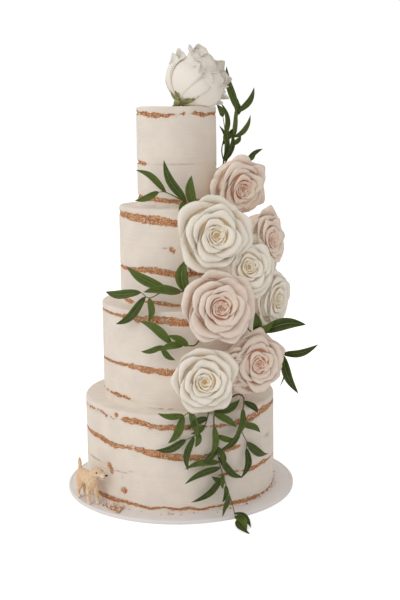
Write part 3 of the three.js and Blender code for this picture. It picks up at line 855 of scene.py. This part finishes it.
placed_roses = []
for number, rose in enumerate(ROSES):
    chance = np.random.default_rng(100 + number)
    head = rose["width"] / 2 * MM
    depth = rose.get("depth", 1)
    point = rose.get("point", PLAIN_POINT)
    azimuth, reach, level = rose["place"]
    middle = round_points(np.array([azimuth]), reach * MM, level * MM)[0]
    axes = facing_axes(*rose["faces"], rose["turn"])
    whorls = SWIRL[rose.get("hollow", 0) :] + (CUPPED_PETALS if depth > 1 else OPEN_PETALS)
    petals = []
    for whorl in whorls:
        columns = PETAL_COLUMNS if whorl[1] > HEART_CREST else PETAL_COLUMNS + EXTRA_COLUMNS
        inner = max(0, 1 - whorl[1] / HEART_ENDS)
        first = chance.uniform(0, 360)
        for place in range(whorl[0]):
            luck = chance.uniform(-1, 1, 8)
            spin = turned_by(math.radians(first + place * 360 / whorl[0] + 7 * luck[7]))

            def petal_place(across, along):
                return petal_shape(across, along, whorl, depth, point, luck) @ spin @ axes * head + middle

            petals.append(grown_sheet("petal", columns, PETAL_ROWS, petal_place, inner=inner))
    bloom = joined(petals, rose["name"] + "_petals")
    corners = corners_of(bloom)
    for other_middle, other_axes, other_head, other_depth in placed_roses:
        spread = np.array(ROSE_SPREAD) * [1, 1, other_depth]
        seen = (corners - other_middle) @ other_axes.T / other_head
        seen = (seen - [0, 0, ROSE_MIDDLE]) / spread
        distance = np.linalg.norm(seen, axis=1)
        inside = distance < 1
        seen[inside] *= ((0.94 + 0.06 * distance[inside]) / distance[inside])[:, None]
        pushed = (seen * spread + [0, 0, ROSE_MIDDLE]) * other_head @ other_axes
        corners[inside] = (pushed + other_middle)[inside]
    put_corners(bloom, clear_of_cake(corners, PETAL_CLEARANCE))
    blush = rose["name"].endswith("blush")
    white = TOP_PETAL if depth > 1 else WHITE_PETAL
    bloom.data.materials.append(BLUSH_PETAL if blush else white)
    thickened(bloom, PETAL_THICKNESS)
    settled(bloom, "rose_blush" if blush else "rose_white", rose["name"])
    placed_roses.append((middle, axes, head, depth))


# Each rose's greens: the short cut stem, the round cup that the petals grow from and five slim sepals that
# spread behind the head. They are one grown piece, pushed into the cake behind the petals.
STEM_RADIUS = 2.6 * MM
STEM_LENGTH = 34 * MM
SEPALS = 5
SEPAL_LENGTH = 0.62
SEPAL_WIDTH = 0.13
SEPAL_THICKNESS = 0.5 * MM
SEPAL_COLUMNS = 4
SEPAL_ROWS = 10
GREENS_CLEARANCE = 0.9 * MM
CUP_DEPTHS = np.array([-0.60, -0.63, -0.68, -0.75, -0.80])
CUP_RADII = np.array([0.05, 0.12, 0.14, 0.10])
STEM_START = -0.85
STEM_ROWS = 6

green, start = finish_of("rose_green", Specular_IOR_Level=0.4, Subsurface_Weight=0.05)
tone = noise(start, 6 * MM, detail=3)
tone.within(0.3, 0.7).mixed((0.12, 0.15, 0.045), (0.36, 0.36, 0.15)).feeds("Base Color")
(0.45 + 0.2 * tone).feeds("Roughness")
bumped(noise(start, 0.9 * MM, stretch=(1, 1, 4)), 0.2 * MM).feeds("Normal")


def sepal_shape(across, along, about, depth, luck):
    """A slim pointed sepal under the head, in head radii about the rose's axis."""
    side = 2 * across - 1
    width = SEPAL_WIDTH * np.clip(1.6 * along**0.45 * (1 - along) ** 0.8, 0.02, 1)
    out = 0.08 + SEPAL_LENGTH * along * (1 + 0.2 * luck[0])
    up = (-0.66 + 0.1 * along + (0.25 + 0.2 * luck[1]) * along**2.5) * depth - 0.02 * side**2
    angle = about + 0.25 * luck[2] * along
    return np.stack([
        out * np.cos(angle) - side * width * np.sin(angle),
        out * np.sin(angle) + side * width * np.cos(angle),
        up,
    ], axis=1)


def tube_along(name, path, radii, sides=10):
    """A closed round rod through a path of points, with its radius at each."""
    path = np.asarray(path, float)
    heading = np.gradient(path, axis=0)
    heading /= np.linalg.norm(heading, axis=1)[:, None]
    helper = np.array([0.31, 0.17, 0.93])
    first = np.cross(heading, helper)
    first /= np.linalg.norm(first, axis=1)[:, None]
    second = np.cross(heading, first)
    closed_radii = np.concatenate([[0], radii, [0]])
    order = np.concatenate([[0], np.arange(len(path)), [len(path) - 1]])

    def place(across, along):
        row = np.rint(along * (len(order) - 1)).astype(int)
        at = order[row]
        turn = once_round(across) * 2 * math.pi
        spoke = first[at] * np.cos(turn)[:, None] + second[at] * np.sin(turn)[:, None]
        return path[at] + spoke * closed_radii[row][:, None]

    rod = shaped_grid(name, sides, len(order) - 1, place)
    close_seams(rod)
    return rod


for number, rose in enumerate(ROSES):
    chance = np.random.default_rng(300 + number)
    middle, axes, head, depth = placed_roses[number]
    first = chance.uniform(0, 2 * math.pi)
    sepals = []
    for place in range(SEPALS):
        luck = chance.uniform(-1, 1, 3)
        about = first + place * 2 * math.pi / SEPALS

        def sepal_place(across, along):
            return sepal_shape(across, along, about, depth, luck) @ axes * head + middle

        sepals.append(shaped_grid("sepal", SEPAL_COLUMNS, SEPAL_ROWS, sepal_place))
    sheet = joined(sepals, "sepals")
    put_corners(sheet, clear_of_cake(corners_of(sheet), GREENS_CLEARANCE))
    thickened(sheet, SEPAL_THICKNESS)
    stem_top = STEM_START * depth * head
    stem_levels = np.linspace(stem_top, stem_top - STEM_LENGTH, STEM_ROWS)
    levels = np.concatenate([CUP_DEPTHS * depth * head, stem_levels])
    radii = np.concatenate([CUP_RADII * head, np.full(1 + STEM_ROWS, STEM_RADIUS)])
    stem = tube_along("stem", middle + axes[2] * levels[:, None], radii)
    bpy.ops.object.shade_smooth()
    greens = joined([sheet, stem], rose["name"] + "_greens")
    greens.data.materials.append(green)
    settled(greens, "leaf", rose["name"])


# The sprigs: cut shoots of a climber with slim dark leaves, tucked into the cake behind the roses. Each
# leaf is folded a little along its midrib, arched and twisted, and its underside is a dull grey-green.
# A stem is a list of azimuth, height and radius, and a leaf is its place along the stem from 0 to 1, its
# bearing from straight up across the wall, its lift off the wall, its length and its width, in degrees and
# millimetres. A leaf with more than the lying lift faces straight up.
SPRIGS = {
    "sprig_upper_left": {
        "stem": [[30, 388, 62], [14, 390, 82], [3, 398, 80], [-11, 407, 76], [-18, 407, 74]],
        "leaves": [
            [0.87, 304, -12, 51, 9], [1, 251, 11, 33, 9], [0.5, 334, -10, 60, 12],
            [0.36, 358, -6, 38, 13], [0.52, 202, 20, 20, 8],
        ],
    },
    "sprig_middle_left": {
        "stem": [[14, 280, 79], [5, 285, 104], [-8, 288, 112], [-19, 278, 110], [-25, 284, 110]],
        "leaves": [
            [0.58, 298, -14, 62, 14], [1, 267, -8, 57, 12], [0.38, 269, -4, 48, 13],
            [0.92, 229, -4, 60, 12], [0.86, 183, 4, 31, 9], [0.34, 4, -6, 40, 17],
        ],
    },
    "sprig_lower_left": {
        "stem": [[14, 222, 104], [8, 219, 118], [-3, 223, 118], [-9, 219, 116], [-11, 216, 115]],
        "leaves": [
            [0.75, 303, -9, 49, 12], [0.94, 256, 1, 30, 8], [0.5, 258, 3, 32, 10], [0.4, 298, 2, 29, 10],
            [1, 131, 4, 23, 8],
        ],
    },
    "sprig_back_tall": {
        "stem": [[100, 430, 53], [107, 441, 69], [105, 460, 76], [104, 488, 82], [104, 506, 85]],
        "leaves": [
            [0.98, 15, -20, 33, 9], [0.96, 40, 18, 22, 8], [0.62, 340, 34, 37, 10],
            [0.64, 333, -3, 44, 10], [0.76, 195, -40, 29, 9], [0.5, 24, 44, 22, 7], [1, 359, 35, 40, 9],
            [1, 6, -12, 62, 13],
        ],
    },
    "sprig_back_near": {
        "stem": [[92, 428, 53], [95, 440, 62], [95, 457, 60], [94, 480, 64], [95, 500, 62]],
        "leaves": [
            [1, 3, -26, 18, 8], [0.25, 355, -6, 46, 11], [0.6, 6, -3, 50, 9], [0.22, 344, 15, 42, 10],
        ],
    },
    "sprig_back_low": {
        "stem": [[97, 410, 54], [98, 424, 76], [97, 443, 93]],
        "leaves": [[1, 350, 57, 27, 7], [0.96, 30, 45, 23, 7], [0.77, 329, 0, 20, 7]],
    },
    "sprig_right_long": {
        "stem": [[58, 230, 104], [52, 227, 118], [54, 228, 132]],
        "leaves": [[1, 76, 53, 57, 17], [0.74, 346, 8, 27, 12], [0.66, 32, 54, 31, 11]],
    },
    "sprig_right_low": {
        "stem": [[68, 188, 104], [68, 190, 134], [68, 192, 146]],
        "leaves": [[1, 20, 71, 49, 11], [0.98, 182, 25, 56, 13], [0.94, 186, 2, 42, 6]],
    },
    "sprig_trail_middle": {
        "stem": [
            [24, 138, 104], [21, 140, 122], [19, 135, 132], [18, 124, 135], [19, 104, 136], [20, 87, 135],
            [21, 70, 135], [23, 52, 136], [25, 33, 139], [26, 18, 146], [25, 9, 157], [24, 4, 168],
        ],
        "leaves": [
            [0.17, 67, 6, 36, 12], [0.18, 126, 18, 33, 10], [0.27, 190, 2, 40, 9], [0.34, 104, 4, 31, 8],
            [0.42, 167, 5, 31, 8], [0.44, 221, -2, 29, 9], [0.5, 133, -4, 50, 10], [0.54, 264, -6, 45, 9],
            [0.58, 249, -6, 50, 9], [0.63, 181, 7, 20, 7], [0.68, 292, 0, 19, 8], [0.65, 235, -4, 52, 10],
            [0.72, 200, 11, 22, 7], [0.8, 238, 42, 36, 9], [0.93, 150, 78, 36, 10],
            [0.96, 215, 80, 36, 10], [1, 200, 85, 38, 9],
        ],
    },
    "sprig_trail_left": {
        "stem": [[17, 138, 104], [16, 138, 124], [15, 130, 132], [11, 112, 134], [3, 103, 134]],
        "leaves": [
            [0.45, 249, 13, 31, 9], [0.58, 243, 4, 21, 7], [0.86, 190, 2, 45, 9], [0.75, 202, 13, 18, 8],
            [1, 251, -4, 41, 10],
        ],
    },
    "sprig_trail_short": {
        "stem": [[8, 142, 104], [7, 144, 126], [5, 139, 133], [2, 134, 134]],
        "leaves": [[1, 277, 0, 33, 9], [1, 211, 1, 41, 11], [0.75, 168, 7, 37, 10]],
    },
    "sprig_trail_right": {
        "stem": [
            [40, 142, 104], [38, 150, 122], [37, 148, 134], [35, 134, 138], [34, 121, 136],
            [35, 106, 135], [39, 90, 134], [39, 81, 134],
        ],
        "leaves": [
            [0.35, 133, 8, 28, 9], [0.44, 209, 6, 44, 11], [0.64, 118, -2, 39, 9], [0.71, 240, 3, 42, 9],
            [0.92, 122, -4, 52, 12], [1, 196, 3, 39, 10],
        ],
    },
}
LYING_LIFT = 75
TO_GUEST = np.array([0, -0.6, 0.15])
LEAF_COLUMNS = 6
LEAF_ROWS = 14
LEAF_THICKNESS = 0.4 * MM
LOWEST_LEAF = 0.5 * MM
SHOOT_RADIUS = 0.95 * MM


def leaf_finish(name, dark, light, rib, roughness):
    """Leaf: darker near the midrib, lighter to the edge, with a pale rib and faint side veins."""
    material, start = finish_of(name, Specular_IOR_Level=0.28)
    along, across, tone = (kept_value(start, kept) for kept in ("along", "across", "tone"))
    off_rib = (across * 2 - 1).absolute()
    mottle = noise(start, 5 * MM, detail=3)
    share = (0.5 * tone + 0.35 * off_rib + 0.5 * (mottle - 0.5)).within(0.0, 0.85)
    colour = share.mixed(dark, light)
    veins = ((along * 70 - off_rib * 16).sine() * 0.5 + 0.5) ** 3
    colour = (veins * 0.16).mixed(colour, rib)
    ((1 - off_rib.within(0.03, 0.13)) * 0.75).mixed(colour, rib).feeds("Base Color")
    (roughness + 0.15 * mottle).feeds("Roughness")
    bumped(0.6 * off_rib.within(0.0, 0.16) - 0.25 * veins + 0.3 * mottle, 0.3 * MM).feeds("Normal")
    return material


LEAF_FACE = leaf_finish(
    "leaf_face",
    dark=(0.012, 0.024, 0.003),
    light=(0.095, 0.145, 0.018),
    rib=(0.17, 0.21, 0.05),
    roughness=0.40,
)
LEAF_BACK = leaf_finish(
    "leaf_back",
    dark=(0.065, 0.085, 0.035),
    light=(0.12, 0.145, 0.065),
    rib=(0.20, 0.22, 0.10),
    roughness=0.6,
)
SHOOT, start = finish_of("shoot", Roughness=0.5)
barky = noise(start, 4 * MM).within(0.35, 0.65)
barky.mixed((0.06, 0.085, 0.025), (0.17, 0.13, 0.06)).feeds("Base Color")
bumped(noise(start, 0.8 * MM, stretch=(1, 1, 3)), 0.15 * MM).feeds("Normal")


def smooth_path(stations, steps=10):
    """A smooth line through the stations, as many points."""
    known = np.vstack([2 * stations[0] - stations[1], stations, 2 * stations[-1] - stations[-2]])
    points = []
    for index in range(1, len(known) - 2):
        before, here, after, beyond = known[index - 1 : index + 3]
        for share in np.arange(steps) / steps:
            turn_in = (after - before) * share + (2 * before - 5 * here + 4 * after - beyond) * share**2
            points.append(here + 0.5 * (turn_in + (3 * here - before - 3 * after + beyond) * share**3))
    points.append(known[-2])
    return np.array(points)


def point_along(path, share):
    lengths = np.concatenate([[0], np.cumsum(np.linalg.norm(np.diff(path, axis=0), axis=1))])
    return np.array([np.interp(share * lengths[-1], lengths, path[:, axis]) for axis in range(3)])


def leaf_shape(across, along, length, width, luck):
    """Corners of a leaf: how far along it, across it and out of its face."""
    side = 2 * across - 1
    breadth = 2.9 * along**0.66 * (1 - along) ** 0.95
    half = width / 2 * breadth + 0.35 * MM * (1 - along) ** 2
    fold = math.radians(17 + 7 * luck[0])
    middle_out = length * (0.075 + 0.035 * luck[1]) * np.sin(math.pi * along) - length * 0.03 * along**3
    bow = length * (0.07 * math.copysign(1, luck[2]) + 0.05 * luck[2]) * np.sin(math.pi * along**1.2)
    twist = (0.35 * luck[3]) * (along - 0.2) + 0.25 * luck[4]
    ripple = 0.05 * width * np.sin(9 * along + 3 * luck[5]) * side**2
    flat, out = side * half * math.cos(fold), np.abs(side) * half * math.sin(fold) + ripple * breadth
    return (
        along * length,
        bow + flat * np.cos(twist) - out * np.sin(twist),
        middle_out + flat * np.sin(twist) + out * np.cos(twist),
    )


for number, (name, sprig) in enumerate(SPRIGS.items()):
    chance = np.random.default_rng(500 + number)
    azimuths, levels, reaches = np.array(sprig["stem"], float).T
    path = smooth_path(round_points(azimuths, reaches * MM, levels * MM))
    blades = []
    for at, bearing, lift, length, width in sprig["leaves"]:
        root = point_along(path, at)
        azimuth = math.degrees(math.atan2(root[0], -root[1]))
        across_wall, up, off_wall = facing_axes(azimuth, 0)
        heading, rise = math.radians(bearing), math.radians(lift)
        direction = (math.cos(heading) * up + math.sin(heading) * across_wall) * math.cos(rise)
        direction = direction + off_wall * math.sin(rise)
        face = np.array([0, 0, 1.0]) if lift > LYING_LIFT else 0.4 * off_wall + TO_GUEST
        side = np.cross(direction, face)
        side /= np.linalg.norm(side)
        face = np.cross(side, direction)
        luck = chance.uniform(-1, 1, 7)
        side, face, _ = turned_by(0.3 * luck[6]) @ [side, face, direction]

        def leaf_place(across, along):
            lengthwise, sideways, out = leaf_shape(across, along, length * MM, width * MM, luck)
            return root + lengthwise[:, None] * direction + sideways[:, None] * side + out[:, None] * face

        tone = chance.uniform(0, 1)
        blades.append(grown_sheet("leaf", LEAF_COLUMNS, LEAF_ROWS, leaf_place, tone=tone))
    foliage = joined(blades, "foliage")
    corners = clear_of_cake(corners_of(foliage), GREENS_CLEARANCE)
    corners[:, 2] = np.maximum(corners[:, 2], LOWEST_LEAF)
    put_corners(foliage, corners)
    for material in (LEAF_FACE, LEAF_BACK, SHOOT):
        foliage.data.materials.append(material)
    thickened(foliage, LEAF_THICKNESS, back_slot=1)
    radii = SHOOT_RADIUS * np.linspace(1.25, 0.5, len(path))
    shoot = tube_along("shoot", path, radii, sides=8)
    bpy.ops.object.shade_smooth()
    shoot.data.materials.append(SHOOT)
    settled(joined([foliage, shoot], name + "_growth"), "leaf", name)


# The dog: a small moulded toy dog with a golden coat, paler on its muzzle and feet, standing on the board
# with its head turned to the guest. It is one casting, with its eyes, nose and mouth painted on.
DOG_MIDDLE = (-123.5, -77)
DOG_HEADING = 30
DOG_VOXEL = 0.75 * MM
# Each round part: its middle along the body, to its left and above the board, then its half sizes, and how
# far it is pitched nose down, in millimetres and degrees.
DOG_PARTS = [
    [[-13, 0, 28.5], [10.5, 8.5, 11], 0],
    [[0, 0, 31.5], [17, 7.6, 9.5], -3],
    [[13, 0, 30.5], [9.5, 8, 12.5], 10],
    [[18.5, 1, 39], [6.5, 6, 9.5], -25],
    [[25, 3.5, 44.5], [7.6, 6.6, 6.6], 0],
    [[32, 7, 41.6], [6.4, 3.8, 3.4], 18],
    [[31, 6.6, 38.8], [5.2, 3.0, 1.8], 18],
    [[23.5, -2.8, 42.5], [2.6, 1.6, 5.6], 15],
    [[20.5, 8.0, 42.8], [2.6, 1.6, 5.6], 15],
    [[17.5, 4.4, 18], [4.0, 3.6, 13], 4],
    [[18.5, 4.6, 5.0], [2.5, 2.4, 6.5], 0],
    [[20, 4.8, 1.8], [4.0, 2.9, 2.2], 0],
    [[13, -4.4, 18], [4.0, 3.6, 13], 4],
    [[13.6, -4.6, 5.0], [2.5, 2.4, 6.5], 0],
    [[15, -4.6, 1.8], [4.0, 2.9, 2.2], 0],
    [[-16, 4.6, 21], [6.6, 4.2, 9.5], -10],
    [[-19, 4.9, 10], [2.9, 2.6, 8.5], 12],
    [[-17, 5, 1.8], [4.2, 2.8, 2.2], 0],
    [[-14, -4.6, 21], [6.6, 4.2, 9.5], -10],
    [[-17, -4.9, 10], [2.9, 2.6, 8.5], 12],
    [[-15, -5, 1.8], [4.2, 2.8, 2.2], 0],
    [[-22, 0, 37], [3.6, 3.0, 7.0], 20],
    [[-21.5, 0, 46], [3.0, 2.6, 7.0], -12],
]
DOG_MARKS = [
    [[30.2, -0.4, 46.0], [1.25, 1.1, 1.25]],
    [[27.4, 9.4, 46.0], [1.25, 1.1, 1.25]],
    [[38.2, 9.9, 43.0], [1.7, 2.0, 1.4]],
]
BOARD_INNER_TOP = BOARD_TOP - BOARD_DIP

dog_turn = Matrix.Rotation(math.radians(DOG_HEADING - 90), 4, "Z")
dog_place = Matrix.Translation((DOG_MIDDLE[0] * MM, DOG_MIDDLE[1] * MM, BOARD_INNER_TOP)) @ dog_turn


def moulded_ball(middle, halves, pitch=0, segments=24):
    """One round part of the dog, in its place on the board."""
    bpy.ops.object.select_all(action="DESELECT")
    bpy.ops.mesh.primitive_uv_sphere_add(segments=segments, ring_count=segments * 2 // 3, radius=1)
    ball = bpy.context.object
    stretched = Matrix.Diagonal((*[half * MM for half in halves], 1))
    pitched = Matrix.Rotation(math.radians(pitch), 4, "Y")
    ball.data.transform(dog_place @ Matrix.Translation([at * MM for at in middle]) @ pitched @ stretched)
    return ball


dog = joined([moulded_ball(*part) for part in DOG_PARTS], "dog_casting")
remesh = dog.modifiers.new("one_skin", "REMESH")
remesh.mode = "VOXEL"
remesh.voxel_size = DOG_VOXEL
bpy.ops.object.modifier_apply(modifier=remesh.name)
soften = dog.modifiers.new("soften", "SMOOTH")
soften.factor = 0.6
soften.iterations = 7
bpy.ops.object.modifier_apply(modifier=soften.name)
corners = corners_of(dog)
normals = np.empty(len(corners) * 3, np.float32)
dog.data.vertices.foreach_get("normal", normals)
fur = lumps(corners * [1, 1, 0.35], 1.6 * MM, 5) * 0.22 + lumps(corners * [1, 1, 0.5], 3.4 * MM, 6) * 0.3
corners = corners + normals.reshape(-1, 3) * fur[:, None] * MM
corners[:, 2] = np.maximum(corners[:, 2], BOARD_INNER_TOP + 0.02 * MM)
put_corners(dog, corners)
to_dog = np.array(dog_place.inverted())
ahead, _, above = (corners @ to_dog[:3, :3].T + to_dog[:3, 3]).T / MM
muzzle = np.exp(-(((ahead - 34) / 5) ** 2) - ((above - 41) / 4.5) ** 2)
feet = np.clip((9 - above) / 8, 0, 1)
flank = np.exp(-(((ahead + 14) / 9) ** 2) - ((above - 27) / 9) ** 2)
mouth = np.exp(-(((above - 39.9 + 0.1 * (ahead - 32)) / 0.55) ** 2)) * (ahead > 28.2)
keep_value(dog, "pale", np.clip(0.9 * muzzle + 0.7 * feet, 0, 1))
keep_value(dog, "rosy", np.clip(flank, 0, 1))
keep_value(dog, "mouth", mouth)
bpy.ops.object.shade_smooth()

coat_paint, start = finish_of("golden_coat", Specular_IOR_Level=0.4)
strands = noise(start, 1.3 * MM, detail=3, stretch=(1, 1, 3.5))
gold = strands.within(0.3, 0.72).mixed((0.66, 0.44, 0.25), (0.90, 0.70, 0.49))
gold = (kept_value(start, "rosy") * 0.7).mixed(gold, (0.90, 0.50, 0.30))
gold = kept_value(start, "pale").mixed(gold, (0.88, 0.76, 0.62))
painted = kept_value(start, "mouth").within(0.35, 0.7)
(painted * 0.9).mixed(gold, (0.06, 0.03, 0.02)).feeds("Base Color")
(0.5 + 0.2 * strands).feeds("Roughness")
bumped(strands, 0.3 * MM).feeds("Normal")
dog.data.materials.append(coat_paint)

dark_paint, start = finish_of("dark_gloss", Coat_Weight=0.5)
noise(start, 0.6 * MM).mixed((0.012, 0.009, 0.008), (0.03, 0.02, 0.016)).feeds("Base Color")
(0.2 + 0.15 * noise(start, 0.8 * MM)).feeds("Roughness")
marks = joined([moulded_ball(*mark, segments=16) for mark in DOG_MARKS], "dog_marks")
bpy.ops.object.shade_smooth()
marks.data.materials.append(dark_paint)
settled(joined([dog, marks], "dog_casting"), "dog", "dog_figurine")


# The crumbs: bits of sponge and specks of icing that fell as the sides were scraped. A small heap lies on
# the board at the left of the front, and single ones lie along the foot of the bottom tier.
HEAP_AZIMUTH = -38.5
HEAP_REACH = 140
HEAP_SPREAD = 4.0
HEAP_CRUMBS = 22
STRAY_CRUMBS = 40
ICING_SPECKS = 44
STRAY_SPREAD = 2.5
STRAY_SHARE = 0.6


def scattered(name, seed, count, material, sizes):
    """Small uneven bits on the board, round the heap or along the bottom tier's foot, as one mesh."""
    chance = np.random.default_rng(seed)
    foot = tier_size("tier_1")[0]
    bits = []
    for index in range(count):
        in_heap = index < HEAP_CRUMBS * count / (HEAP_CRUMBS + STRAY_CRUMBS)
        azimuth = HEAP_AZIMUTH + chance.normal(0, 3.8) if in_heap else chance.uniform(-180, 180)
        off = chance.normal(0, HEAP_SPREAD if in_heap else STRAY_SPREAD)
        reach = HEAP_REACH + off if in_heap else foot / MM + 1.5 + abs(off)
        reach = min(max(reach * MM, foot + 1.6 * MM), BOARD_RADIUS - 8 * MM)
        size = chance.uniform(*sizes) * MM * (1 if in_heap else STRAY_SHARE)
        bpy.ops.object.select_all(action="DESELECT")
        bpy.ops.mesh.primitive_ico_sphere_add(subdivisions=2, radius=1)
        bit = bpy.context.object
        corners = corners_of(bit)
        corners *= 1 + 0.32 * lumps(corners + index * 7.3, 0.7, seed)[:, None]
        corners *= size * chance.uniform(0.7, 1.15, 3) * [1, 1, 0.75]
        corners += round_points(np.array([azimuth]), reach, 0.0)[0]
        corners[:, 2] += BOARD_INNER_TOP + 0.45 * size
        corners[:, 2] = np.maximum(corners[:, 2], BOARD_INNER_TOP)
        put_corners(bit, corners)
        bits.append(bit)
    heap = joined(bits, name)
    keep_value(heap, "thin_coat", 0.45 + 0.5 * lumps(corners_of(heap), 2.5 * MM, seed))
    bpy.ops.object.shade_smooth()
    heap.data.materials.append(material)
    return heap


brown_bits = scattered("sponge_crumbs", 11, HEAP_CRUMBS + STRAY_CRUMBS, crumb, (0.6, 1.6))
settled(brown_bits, "sponge")
icing_bits = scattered("icing_specks", 12, ICING_SPECKS, icing, (1.4, 4.2))
settled(icing_bits, "icing")
